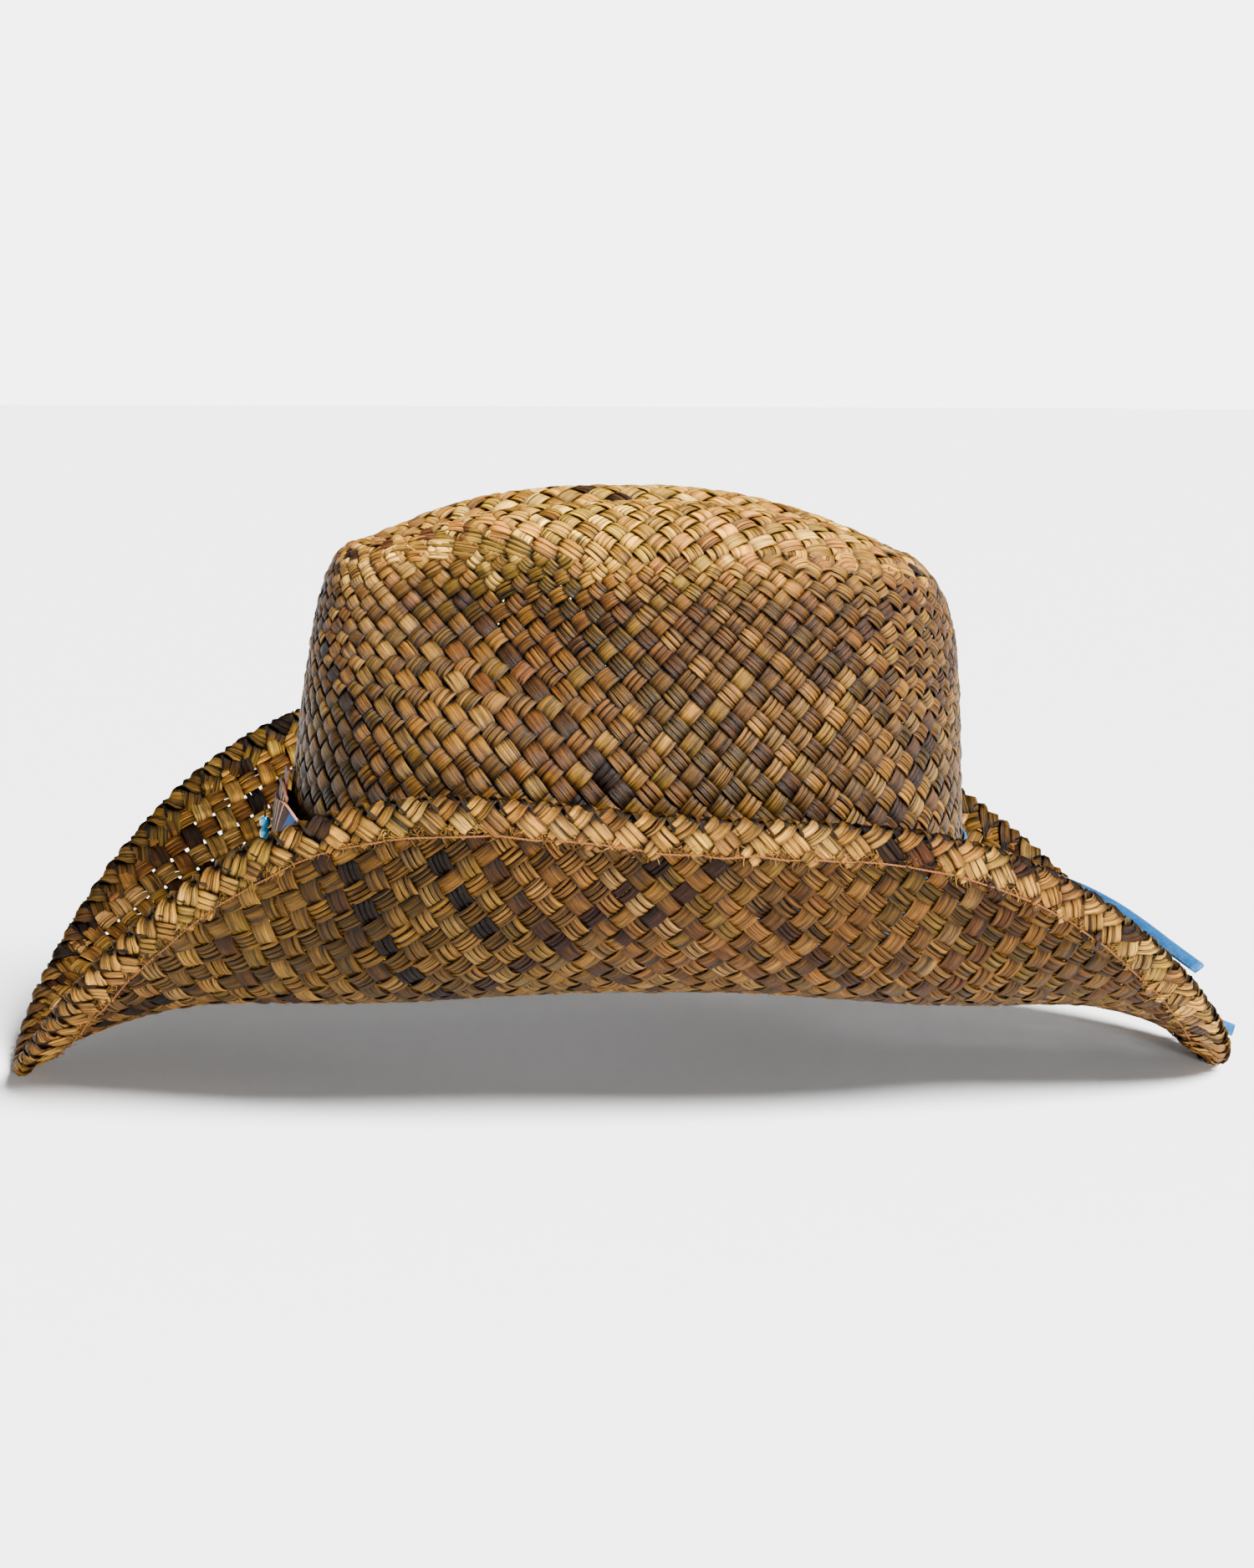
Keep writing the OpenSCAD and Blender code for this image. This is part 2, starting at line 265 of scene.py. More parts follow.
def normals_of(surface, a, b, eps=0.05):
    du = surface(a + eps, b) - surface(a - eps, b)
    dv = surface(a, b + eps) - surface(a, b - eps)
    return unit(np.cross(du, dv))


class Lattice:
    """Crossings, keyed by part and doubled coordinates, and the strands that run through them."""

    def __init__(self, rows):
        index = {}
        self.strands = [(np.array([index.setdefault(key, len(index)) for key, _ in row]),
                         np.array([is_over for _, is_over in row])) for row in rows]
        self.keys = list(index)


OUTWARD = {  # direction on the brim of the two families, by side of the outline
    "a": ((1, -1), (1, 1), (-1, 1), (-1, -1)),
    "b": ((1, 1), (-1, 1), (-1, -1), (1, -1))}


def beyond_edge(x, y):
    """How far a grid point lies outside the brim's edge when the brim is flat, in millimetres."""
    f = np.arctan2(x, -y)
    return np.hypot(x, y) * BRIM_UNIT - oval(f, *FOOT) - brim_width(f)


def over(key, family):
    """True where the family's strand passes over at this crossing."""
    part, i, j = key
    if part == "wall":
        return (i % 2 == 1) == (family == "a")
    return (j % 2 == 1) == (family == "p")


def outward_run(s, family):
    """Keys and overs of a strand from just below the tip's outline to beyond the brim's edge."""
    turn = -0.5 if family == "a" else 0.5
    found = []
    for k in range(1, 2 * WALL_ROWS):
        key = ("wall", round(2 * ((s + turn * k) % ROUND)), k)
        found.append((key, over(key, family)))
    s_foot = s + 2 * turn * WALL_ROWS
    x, y = perimeter_point(s_foot)
    dx, dy = OUTWARD[family][perimeter_side(s_foot)]
    planar = "p" if dx * dy < 0 else "m"
    while True:
        key = ("brim", round(2 * x), round(2 * y))
        found.append((key, over(key, planar)))
        if beyond_edge(x, y) > BRIM_UNIT:
            return found
        x, y = x + dx / 2, y + dy / 2


def planar_row(part, family, c, reach, keep):
    """Keys and overs along one slanting line of the tip's or the brim's grid, X+Y=c or X-Y=c."""
    sign = 1 if family == "p" else -1
    found = []
    for i in range(-reach, reach + 1):
        x, y = i / 2, sign * (c - i / 2)
        if keep(x, y):
            key = (part, i, round(2 * y))
            found.append((key, over(key, family)))
    return found


def crown_strand(family, c):
    """One strand that crosses the tip, and runs down both sides and over the brim."""
    tip = planar_row("tip", family, c, 2 * GRID_X, lambda x, y: abs(y) <= GRID_Y)
    ends = []
    for (_, i, j), _ in (tip[0], tip[-1]):
        s = perimeter_run(i / 2, j / 2)
        odd = perimeter_side(s) % 2 == 1
        ends.append(outward_run(s, "b" if odd == (family == "p") else "a"))
    return ends[0][::-1] + tip + ends[1]


def brim_strand(family, c):
    """One strand of the brim that misses the crown."""
    return planar_row("brim", family, c, 60, lambda x, y: beyond_edge(x, y) < BRIM_UNIT)


def make_lattice():
    reach = GRID_X + GRID_Y
    rows = [crown_strand(fam, c + 0.5) for fam in "pm" for c in range(-reach, reach)]
    for fam in "pm":
        for k in range(reach, 3 * reach):
            rows += [r for r in (brim_strand(fam, k + 0.5), brim_strand(fam, -k - 0.5)) if len(r) > 3]
    return Lattice(rows)


def neighbours_of(grid):
    """The crossings before and after each one along its two strands, or itself at an end."""
    near = np.tile(np.arange(len(grid.keys))[:, None], (1, 4))
    used = np.zeros(len(grid.keys), int)
    slot = []
    for nodes, _ in grid.strands:
        lane = used[nodes]
        near[nodes[1:], 2 * lane[1:]] = nodes[:-1]
        near[nodes[:-1], 2 * lane[:-1] + 1] = nodes[1:]
        used[nodes] += 1
        slot.append(lane)
    return near, slot


def relaxed_brim(grid, near):
    """Flat places of the brim's crossings, evened out between the foot ring and the planar grid outside."""
    keys = grid.keys
    flat = np.zeros((len(keys), 2))
    free = np.zeros(len(keys), bool)
    for n, (part, i, j) in enumerate(keys):
        if part != "brim":
            continue
        x, y = i / 2, j / 2
        flat[n] = x * BRIM_UNIT, y * BRIM_UNIT
        if abs(x) <= GRID_X and abs(y) <= GRID_Y:
            f = foot_angle(perimeter_run(x, y))
            flat[n] = out_dir(f)[:2] * oval(f, *FOOT)
        else:
            free[n] = beyond_edge(x, y) < 0 and len(set(near[n])) == 4
    for _ in range(400):
        flat[free] = flat[near[free]].mean(1)
    return flat


def place_crossings(grid, near):
    """Point, outward normal and distance to the brim's edge of every crossing, and which are on the brim."""
    keys = grid.keys
    part = np.array([k[0] for k in keys])
    ij = np.array([k[1:] for k in keys]) / 2
    point = np.zeros((len(keys), 3))
    normal = np.zeros((len(keys), 3))
    inside = np.full(len(keys), 99.0)
    tip, wall, brim = (part == p for p in ("tip", "wall", "brim"))
    point[tip] = tip_map(ij[tip, 0], ij[tip, 1])
    shrunk = ij[tip] * 0.985
    normal[tip] = normals_of(tip_map, shrunk[:, 0], shrunk[:, 1])
    point[wall] = wall_map(ij[wall, 0], ij[wall, 1])
    normal[wall] = -normals_of(wall_map, ij[wall, 0], ij[wall, 1])
    flat = relaxed_brim(grid, near)[brim]
    f = np.arctan2(flat[:, 0], -flat[:, 1])
    dist = np.maximum(np.hypot(flat[:, 0], flat[:, 1]) - oval(f, *FOOT), 0)
    point[brim], normal[brim], _ = brim_frame(f, dist)
    inside[brim] = brim_width(f) - dist
    return point, normal, inside, brim


def corner_strands(keys, point):
    """Short added strands under the weave at the foot's four corners, where its openings are widest."""
    spots = {}
    for n, (part, i, j) in enumerate(keys):
        if part == "brim" and (abs(i) / 2 - GRID_X, abs(j) / 2 - GRID_Y) in ((0.5, 0), (0, 0.5)):
            spots.setdefault((i > 0, j > 0), []).append(point[n])
    leaves = []
    one = np.ones(26)
    for seed, near_by in enumerate(spots.values()):
        middle = np.mean(near_by, axis=0)
        f = math.atan2(middle[0], -middle[1]) + np.linspace(-0.13, 0.13, len(one))
        for far_out in (3.6, 8.8):
            centre, up, _ = brim_frame(f, far_out * one)
            # A shown of 0.6 lets the raffia material darken them, as painted shade under the weave.
            tint = strand_colours(len(one), STEPS, 0.6 * one)
            leaves += strand_leaves(centre, up, 2.9 * one, -1.2 * one, 0.2 * one, 1, tint,
                                    np.linspace(0, 28, len(one)), seed)
    return leaves


def soften_foot(point, normal, grid, near):
    """Round the bend where the crown meets the brim."""
    keys = grid.keys
    close = np.zeros(len(keys))
    for n, (part, i, j) in enumerate(keys):
        if part == "wall":
            close[n] = max(0, 1 - (WALL_ROWS - j / 2) / 1.6)
        if part == "brim":
            gap = max(abs(i / 2) - GRID_X, abs(j / 2) - GRID_Y)
            close[n] = max(0, 1 - max(gap, 0) / 1.6)
    share = 0.5 * close[:, None]
    for _ in range(2):
        point = point * (1 - share) + point[near].mean(1) * share
    for _ in range(3):
        normal = unit(normal * (1 - share) + normal[near].mean(1) * share)
    return point, normal


# ---- ribbons ----
def spline(values, steps):
    """Catmull-Rom curve through the rows of values, with steps samples between rows."""
    v = np.concatenate([2 * values[:1] - values[1:2], values, 2 * values[-1:] - values[-2:-1]])
    t = (np.arange(steps) / steps)[None, :, None]
    a, b, c, d = (v[i:len(v) - 3 + i][:, None, :] for i in range(4))
    found = 0.5 * (2 * b + (c - a) * t + (2 * a - 5 * b + 4 * c - d) * t**2 + (3 * b - a - 3 * c + d) * t**3)
    return np.concatenate([found.reshape(-1, values.shape[1]), values[-1:]])


def drift(count, every, size):
    """Slow random wander along a strand, one value a sample."""
    knots = rng.normal(0, size, max(count // every + 3, 4))
    return np.interp(np.arange(count) / every, np.arange(len(knots)), knots)


# Painted shade at the edges of a section: how open each point is to light, by the section's number of points
EDGE_SHADE = {6: np.array([0.55, 1, 1, 0.55, 0.4, 0.4]),
              10: np.array([0.5, 0.85, 1, 1, 1, 1, 0.85, 0.5, 0.4, 0.4])}


class Ribbons:
    """Collects closed ribbons into one mesh, with a colour and fibre coordinates at each point."""

    def __init__(self):
        self.points, self.quads, self.tris, self.tint, self.fibre = [], [], [], [], []
        self.count = 0

    def add(self, rings, tint, fibre, loop=False):
        """A ribbon with closed ends, or a closed loop of sections; without a tint it is white."""
        rows, cols = rings.shape[:2]
        at = self.count + np.arange(rows * cols).reshape(rows, cols)
        nxt = np.roll(at, -1, axis=1)
        if loop:
            ahead = np.roll(at, -1, axis=0)
            self.quads.append(np.stack([at, ahead, np.roll(ahead, -1, axis=1), nxt], -1).reshape(-1, 4))
        else:
            self.quads.append(np.stack([at[:-1], at[1:], nxt[1:], nxt[:-1]], -1).reshape(-1, 4))
            self.close(at)
        # The alpha carries painted shade for the raffia: how far the strand stands up, lowered at its edges.
        shade = np.ones((rows, cols, 4)) if tint is None else np.repeat(tint[:, None, :], cols, axis=1)
        shade[..., 3] *= EDGE_SHADE.get(cols, np.ones(cols))
        for kept, new in ((self.points, rings), (self.tint, shade), (self.fibre, fibre)):
            kept.append(new.reshape(-1, new.shape[-1]))
        self.count += rows * cols

    def close(self, at):
        """Cap both ends with a fan of triangles."""
        fan = np.arange(1, at.shape[1] - 1)
        for ring, flip in ((at[0], False), (at[-1], True)):
            cap = np.stack([np.full(len(fan), ring[0]), ring[fan], ring[fan + 1]], -1)
            self.tris.append(cap[:, ::-1] if flip else cap)

    def triangles(self):
        return 2 * sum(len(q) for q in self.quads) + sum(len(t) for t in self.tris)

    def build(self, name, material, slot):
        points = np.concatenate(self.points)
        piece = make_mesh(name, points, np.concatenate(self.quads), material, self.tris)
        paint = piece.data.attributes.new("tint", "FLOAT_COLOR", "POINT")
        paint.data.foreach_set("color", np.concatenate(self.tint).astype(np.float32).ravel())
        set_fibre(piece, np.concatenate(self.fibre))
        return ride(piece)


def link(thing):
    bpy.context.scene.collection.objects.link(thing)


def make_mesh(name, points, quads, material, tris=()):
    """Mesh object from points in millimetres."""
    tris = np.concatenate([np.zeros((0, 3), int), *tris])
    mesh = bpy.data.meshes.new(name)
    mesh.vertices.add(len(points))
    mesh.vertices.foreach_set("co", (points * MM).astype(np.float32).ravel())
    loops = np.concatenate([np.ravel(quads), np.ravel(tris)]).astype(np.int32)
    starts = np.concatenate([np.arange(len(quads)) * 4, len(quads) * 4 + np.arange(len(tris)) * 3])
    mesh.loops.add(len(loops))
    mesh.loops.foreach_set("vertex_index", loops)
    mesh.polygons.add(len(starts))
    mesh.polygons.foreach_set("loop_start", starts.astype(np.int32))
    mesh.polygons.foreach_set("use_smooth", np.ones(len(starts), bool))
    mesh.update(calc_edges=True)
    mesh.validate()
    mesh.materials.append(material)
    piece = bpy.data.objects.new(name, mesh)
    link(piece)
    return piece


def set_fibre(piece, values):
    lines = piece.data.attributes.new("fibre", "FLOAT_VECTOR", "POINT")
    lines.data.foreach_set("vector", values.astype(np.float32).ravel())


def ride(piece):
    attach(piece, "root")
    return piece


def sections(centre, side, up, wide, tall):
    """Points round each centre, from how far they lie sideways and upwards."""
    return centre[:, None] + side[:, None] * wide[..., None] + up[:, None] * tall[..., None]


def ribbon_rings(centre, normal, half_wid, lift, arch, edges, steps_up):
    """Cross-sections of a folded strand: ten points round, with two fold lines along its face."""
    tangent = unit(np.gradient(centre, axis=0))
    side = unit(np.cross(normal, tangent))
    face = unit(np.cross(tangent, side))
    one = np.ones(len(centre))
    low, high = edges
    across = np.stack([-one, -0.86 * one, low - 0.05, low + 0.05, high - 0.05, high + 0.05, 0.86 * one, one,
                       0.9 * one, -0.9 * one], -1)
    level = np.stack([0 * one, 0.1 + steps_up[0], steps_up[0], steps_up[1], steps_up[1], steps_up[2],
                      0.1 + steps_up[2], 0 * one], -1)
    bow = arch[:, None] * (1 - across[:, :8] ** 2)
    up = np.concatenate([lift[:, None] + bow + level, np.repeat(lift[:, None] - STRAND_T, 2, 1)], 1)
    return sections(centre, side, face, across * half_wid[:, None], up), across


def strip_rings(centre, up, half_wid, lift):
    """Cross-sections of one narrow strip of a split strand: six points round."""
    tangent = unit(np.gradient(centre, axis=0))
    side = unit(np.cross(up, tangent))
    across = np.broadcast_to(np.array([-1.0, -0.55, 0.55, 1.0, 0.7, -0.7]), (len(centre), 6))
    level = np.array([0.0, 0.22, 0.22, 0.0, -STRAND_T, -STRAND_T])
    return sections(centre, side, up, across * half_wid[:, None], lift[:, None] + level), across


def strand_leaves(centre, up, half, lift, shown, strips, tint, far, seed):
    """Rings, colours and fibre coordinates of a strand: one broad folded leaf, or several narrow strips."""
    count = len(centre)
    if strips == 1:
        folds, steps_up = strand_profile(count)
        rings, across = ribbon_rings(centre, up, half, lift, 0.16 + 0.32 * shown, folds, steps_up)
        return [(rings, tint, fibre_grid(far, across, 13.7 * seed))]
    side = unit(np.cross(up, np.gradient(centre, axis=0)))
    made = []
    for j in range(strips):
        place = (2 * j + 1) / strips - 1
        shift = half * place + drift(count, 12, 0.12)
        slim = half / strips * (1.05 + drift(count, 8, 0.06))
        raised = lift + 0.2 * (1 - place**2) * shown + rng.uniform(-0.10, 0.14) + drift(count, 8, 0.05)
        rings, across = strip_rings(centre + side * shift[:, None], up, slim, raised)
        shade = tint * np.append(np.full(3, rng.uniform(0.68, 1.22)), 1)
        made.append((rings, shade, fibre_grid(far, place + across / strips, 13.7 * seed + 3.1 * j)))
    return made


def fibre_grid(far, across, seed):
    return np.stack([np.broadcast_to(far[:, None], across.shape), across, np.full(across.shape, seed)], -1)


def strand_profile(count):
    """Random fold lines and fold heights for one strand of count samples."""
    low = np.clip(-0.4 + drift(count, 30, 0.12) + rng.normal(0, 0.12), -0.72, -0.1)
    high = np.clip(0.35 + drift(count, 30, 0.12) + rng.normal(0, 0.12), 0.1, 0.72)
    steps_up = [rng.uniform(-0.05, 0.22) + drift(count, 24, 0.03) for _ in range(3)]
    return (low, high), steps_up


# ---- colours of the raffia, linear ----
STRAWS = np.array([
    (0.205, 0.090, 0.012), (0.180, 0.075, 0.008), (0.240, 0.118, 0.020), (0.145, 0.061, 0.006),
    (0.150, 0.058, 0.006), (0.135, 0.066, 0.006), (0.190, 0.082, 0.011), (0.105, 0.037, 0.005)])
DARK = np.array([(0.020, 0.007, 0.0022), (0.013, 0.005, 0.0018), (0.034, 0.011, 0.003)])
HEM_STRAWS = STRAWS * 0.85 + np.array([0.02, 0.013, 0.003])
DARK_SHARE = 0.075


def strand_colours(count, samples_each, shown):
    """Colour along one strand, which is pieced together from several straws, and how far it stands up,
    in the alpha, which the raffia material turns into painted shade and light.
    """
    tint = np.zeros((count, 4))
    tint[:, 3] = shown
    at = 0
    while at < count:
        run = int(rng.integers(6, 30)) * samples_each
        if rng.random() < DARK_SHARE:
            colour = DARK[rng.integers(len(DARK))]
        else:
            colour = STRAWS[rng.integers(len(STRAWS))] * rng.uniform(0.48, 1.52)
        tint[at:at + run, :3] = colour
        at += run
    return tint


def pitch_at(point, near, lane, nodes, tangent):
    """Distance between this strand and its parallel neighbours at each crossing."""
    other = 2 * (1 - lane)
    a, b = near[nodes, other], near[nodes, other + 1]
    steps = (a != nodes).astype(float) + (b != nodes)
    gap = (point[b] - point[a]) / np.maximum(steps, 1)[:, None]
    return np.linalg.norm(np.cross(gap, tangent), axis=1)


def weave_height(overs, steps):
    """Height of a strand above the middle surface: flat over a crossing and steep between two."""
    sign = np.where(overs, 1.0, -1.0)
    t = np.arange(steps) / steps
    swing = np.tanh(1.7 * np.cos(math.pi * t)) / math.tanh(1.7)
    return np.append((sign[:, None] * swing)[:-1].ravel(), sign[-1])


def lay_strand(point, normal, near, snug, nodes, lane, overs, seed):
    """Rings, colours and fibre coordinates of one strand."""
    centre = spline(point[nodes], STEPS)
    up = unit(spline(normal[nodes], STEPS))
    count = len(centre)
    pitch = pitch_at(point, near, lane, nodes, unit(np.gradient(point[nodes], axis=0)))
    pitch = np.clip(np.where(pitch < 3, 6.2, pitch), 4.6, 10.5)
    pitch[[0, -1]] = pitch[[1, -2]]
    half = 0.5 * spline((pitch * snug[nodes])[:, None], STEPS)[:, 0] * (0.94 + drift(count, STEPS, 0.03))
    high = weave_height(overs, STEPS)
    shown = 0.5 + 0.5 * high
    half = half * (0.93 + 0.07 * shown)
    centre = centre + unit(np.cross(up, np.gradient(centre, axis=0))) * drift(count, 9, 0.12)[:, None]
    lift = high * WEAVE_H + drift(count, STEPS, 0.07)
    far = run_of(centre)
    split = rng.random() < (0.85 if np.mean(lane) > 0.5 else 0.15)
    strips = int(np.clip(round(np.mean(pitch) / rng.uniform(1.5, 2.1)), 3, 5)) if split else 1
    tint = strand_colours(count, STEPS, shown)
    return strand_leaves(centre, up, half, lift, shown, strips, tint, far, seed)


# triangles, below the most that a piece keeps
PIECE_LIMIT = 170000  # triangles; once a piece holds more, the next strand starts a new piece


def split_runs(mask):
    """Where each run of True starts, and the index after its end."""
    edges = np.flatnonzero(np.diff(np.concatenate([[0], mask.astype(int), [0]])))
    return list(zip(edges[::2], edges[1::2]))


def weave_pieces(materials):
    """All the strands, in pieces small enough to keep every face."""
    grid = make_lattice()
    near, lanes = neighbours_of(grid)
    point, normal, inside, brim = place_crossings(grid, near)
    point, normal = soften_foot(point, normal, grid, near)
    snug = np.where(brim, np.where(point[:, 0] > 0, SNUG_NEAR, SNUG_FAR), 1.0)
    sets = {"crown": [Ribbons()], "brim": [Ribbons()]}
    for n, (nodes, overs) in enumerate(grid.strands):
        leaves = lay_strand(point, normal, near, snug, nodes, lanes[n], overs, n)
        count = len(leaves[0][0])
        left = spline(inside[nodes][:, None], STEPS)[:, 0]
        on_brim = np.repeat(brim[nodes], STEPS)[:count]
        on_brim[:-1] |= on_brim[1:]
        for part, mask in (("crown", ~on_brim), ("brim", on_brim & (left > 0.8))):
            for a, b in split_runs(mask):
                b = min(b + 1, count) if part == "crown" else b
                if b - a < 3:
                    continue
                if sets[part][-1].triangles() > PIECE_LIMIT:
                    sets[part].append(Ribbons())
                for rings, tint, fibre in leaves:
                    sets[part][-1].add(rings[a:b], tint[a:b], fibre[a:b])
    for leaf in corner_strands(grid.keys, point):
        sets["brim"][-1].add(*leaf)
    for part, groups in sets.items():
        for k, group in enumerate(groups):
            piece = group.build(f"{part}_weave_{k + 1}", materials[part], "raffia")
            if k == 0:
                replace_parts(piece, part)


# ---- hem ----
HEM_COUNT = 124
HEM_DEEP = 13.0
FOLD_R = 1.6
FOLD_TURN = math.pi * FOLD_R  # length of the fold, from top to underside
FOLD_LOW = -0.3
STITCH_IN = 9.6
WISPS = 14


class Edge:
    """Angle round the brim's edge by distance."""
    angles = np.linspace(0, TAU, 2881)
    run = run_of(brim_mid(angles, np.ones_like(angles)))
    length = run[-1]


def edge_angle(c):
    return np.interp(c % Edge.length, Edge.run, Edge.angles)


def hem_frame(c, d):
    """Point and outward normal of the folded hem: c runs round the edge, and d runs from the top side
    (below 0) over the edge and in underneath."""
    f = edge_angle(c)
    back = np.where(d < 0, -d, np.maximum(d - FOLD_TURN, 0))
    point, up, along = brim_frame(f, brim_width(f) - 0.01 - back)
    phi = np.clip(d / FOLD_R, 0, math.pi)[..., None]
    normal = along * np.sin(phi) + up * np.cos(phi)
    sink = 1.4 * smooth(-1.5, -7, d)[..., None]
    return point + up * FOLD_LOW + normal * (FOLD_R - sink), normal


def hem_strand(k, lean, pitch):
    """One strand that comes up through the weave, folds over the edge and is turned under."""
    deep = HEM_DEEP + rng.uniform(-1.5, 1.5)
    d = np.arange(-7, deep, 0.85)
    c = k * pitch + rng.normal(0, 0.35) + lean * d + drift(len(d), 6, 0.25)
    centre, up = hem_frame(c, d)
    swing = lean * np.cos(TAU * d / pitch)
    high = np.tanh(1.8 * swing) / math.tanh(1.8)
    shown = 0.5 + 0.5 * high
    flare = 0.9 * rng.uniform(0, 1) * smooth(deep - 4, deep, d)
    lift = high * 0.42 + flare + drift(len(d), 6, 0.06)
    half = 0.5 * pitch / math.sqrt(2) * (0.96 + drift(len(d), 6, 0.05))
    half = half * (1 - 0.25 * smooth(deep - 2, deep, d))
    tint = strand_colours(len(d), 8, shown)
    if tint[0, 0] > 0.06:
        tint[:, :3] = HEM_STRAWS[rng.integers(len(HEM_STRAWS))] * rng.uniform(0.75, 1.2)
    strips = int(rng.integers(2, 4))
    leaves = strand_leaves(centre, up, half, lift, shown * 0.5, strips, tint, d * 1.4, 5.3 * k + lean)
    return leaves, c[-1], d[-1], tint[-1]


def make_hem(material):
    folds, fray = Ribbons(), Ribbons()
    pitch = Edge.length / HEM_COUNT
    for k in range(HEM_COUNT):
        for lean in (-1, 1):
            leaves, c, d, tint = hem_strand(k, lean, pitch)
            for leaf in leaves:
                folds.add(*leaf)
            for _ in range(WISPS):
                heading = math.pi / 2 - lean * math.pi / 4 + rng.normal(0, 0.35)
                fray.add(*wisp(c + rng.uniform(-3.2, 3.2), d - rng.uniform(0.4, 2.2), heading, tint))
    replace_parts(folds.build("hem_folds", material, "raffia_hem"), "hem")
    fray.build("hem_fray", material, "raffia_hem")


def wisp(c, d, heading, tint):
    """A torn fibre at the end of a turned strand."""
    t = np.linspace(0, 1, 5)
    long = rng.uniform(1.2, 3.2) + rng.exponential(0.7)
    wide = rng.uniform(0.10, 0.38)
    turn = heading + rng.normal(0, 0.5) * t
    point, up = hem_frame(c + long * t * np.cos(turn), d + long * t * np.sin(turn))
    centre = point + up * (0.55 + rng.uniform(-0.5, 0.9) * t**2)[:, None]
    side = np.cross(up, unit(np.gradient(centre, axis=0))) * (wide * (1 - 0.75 * t))[:, None]
    rings = np.stack([centre - side, centre - up * 0.08, centre + side, centre + up * 0.08], 1)
    shade = np.tile(tint * np.append(np.full(3, rng.uniform(0.3, 0.95)), 1), (len(t), 1))
    shade[:, 3] = 1
    return rings, shade, fibre_grid(t * long, 0 * rings[..., 0], rng.uniform(0, 90))


def tube(centre, radius, sides=6):
    """Rings of a round tube along a closed or open line of points."""
    tangent = unit(np.gradient(centre, axis=0))
    side = unit(np.cross(tangent, np.array([0.3, 0.2, 1.0])))
    up = np.cross(side, tangent)
    a = -TAU * np.arange(sides) / sides
    radius = np.broadcast_to(radius, (len(centre),))[:, None, None]
    return centre[:, None] + (side[:, None] * np.cos(a)[:, None] + up[:, None] * np.sin(a)[:, None]) * radius


def tube_fibre(rings):
    around = np.linspace(0, 2, rings.shape[1])
    return fibre_grid(run_of(rings[:, 0]), np.broadcast_to(around, rings.shape[:2]), 0.0)


def make_hem_thread(material):
    """Sewing thread: long stitches that lie on the turned hem and dip through it."""
    stitch = 15.0
    c = np.arange(0, Edge.length + 1, 1.0)
    dip = 0.9 * np.abs(np.sin(math.pi * c / stitch)) ** 0.25
    wander = np.interp(c / 9, np.arange(200), rng.normal(0, 0.35, 200))
    point, up = hem_frame(c, FOLD_TURN + STITCH_IN - FOLD_R + wander)
    rings = tube(point + up * (0.05 + dip)[:, None], 0.28)
    thread = Ribbons()
    thread.add(rings, None, tube_fibre(rings))
    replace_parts(thread.build("hem_thread", material, "thread"), "hem_stitching")


# ---- bands round the crown ----
def band(name, low, high, near, far, material, slot, wave, rows=180):
    """A band round the crown, low to high above its foot and near to far off its wall, with rounded edges."""
    f = TAU * np.arange(rows + 1) / rows
    mid, half = (low + high) / 2, (high - low) / 2
    deep, centre = (far - near) / 2, (far + near) / 2
    a = TAU * np.arange(28) / 28
    tall = np.sign(np.sin(a)) * np.abs(np.sin(a)) ** 0.22 * half
    wide = np.sign(np.cos(a)) * np.abs(np.cos(a)) ** 0.7 * deep
    swell = wave * (np.sin(7 * f + 1) + np.sin(12 * f + 2))
    rings = np.stack([wall_point(f, foot_z(f) + mid + t + swell, centre + w + 0 * f)
                      for t, w in zip(tall, wide)], 1)
    across = np.broadcast_to(np.abs(tall) / half, rings.shape[:2])
    fibre = fibre_grid(run_of(rings[:, 0]), across, 0.0)
    made = Ribbons()
    made.add(rings[:-1], None, fibre[:-1], loop=True)
    return made.build(name, material, slot)


def make_bands(suede, lining):
    piece = band("hatband_suede", 3.0, 20.0, 1.5, 2.8, suede, "suede", 0.25)
    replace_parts(piece, "hatband")
    piece = band("sweatband_strip", 2.5, 34.5, -2.4, -1.45, lining, "sweatband", 0.0)
    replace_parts(piece, "sweatband")


def make_sweatband_stitches(material):
    """A row of short stitches that sews the sweatband in."""
    count = 140
    row = Ribbons()
    for k in range(count):
        f = TAU * (k + np.linspace(0.12, 0.88, 7)) / count
        bulge = np.sin(np.linspace(0, math.pi, 7))
        centre = wall_point(f, foot_z(f) + 5.0, -2.3 - 0.45 * bulge)
        rings = tube(centre, 0.30 * (0.35 + 0.65 * bulge**0.4))
        row.add(rings, None, tube_fibre(rings))
    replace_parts(row.build("sweatband_stitches", material, "thread"), "sweatband_stitching")


# ---- knot ----
WRAP_W = 5.2
END_W = 4.4
KNOT_T = 1.5
TO_BACK = (0, 1.0, 0)


def make_knot(material):
    """The band's two ends cross under a wrapped turn of suede."""
    low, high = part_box("hatband_knot")
    mid = np.array((Vector(low) + Vector(high)) / 2 / MM)
    a = np.linspace(0, TAU, 33)
    knot = Ribbons()
    turns = np.stack([0.7 * np.sin(a), 2.7 * np.cos(a), 5.6 * np.sin(a)], -1) + mid
    wrap = flat_loop(turns, WRAP_W, KNOT_T)[:-1]
    knot.add(wrap, None, strap_fibre(wrap, WRAP_W), loop=True)
    over = spline(np.array([(-8.2, -1.0, -1.8), (-5.0, 0.4, -2.2), (-1.5, 3.0, -1.0), (2.0, 3.1, 1.2),
                            (5.4, 0.6, 2.4), (8.2, -0.8, 1.6)]) + mid, 5)
    under = spline(np.array([(-8.2, -1.4, 2.2), (-4.6, -0.6, 3.4), (0, 0.4, 1.0), (4.6, -0.6, -2.6),
                             (8.0, -1.2, -2.0)]) + mid, 5)
    for path in (over, under):
        rings = flat_strap(path, END_W, KNOT_T, TO_BACK)
        knot.add(rings, None, strap_fibre(rings, END_W))
    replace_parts(knot.build("knot_suede", material, "suede"), "hatband_knot")


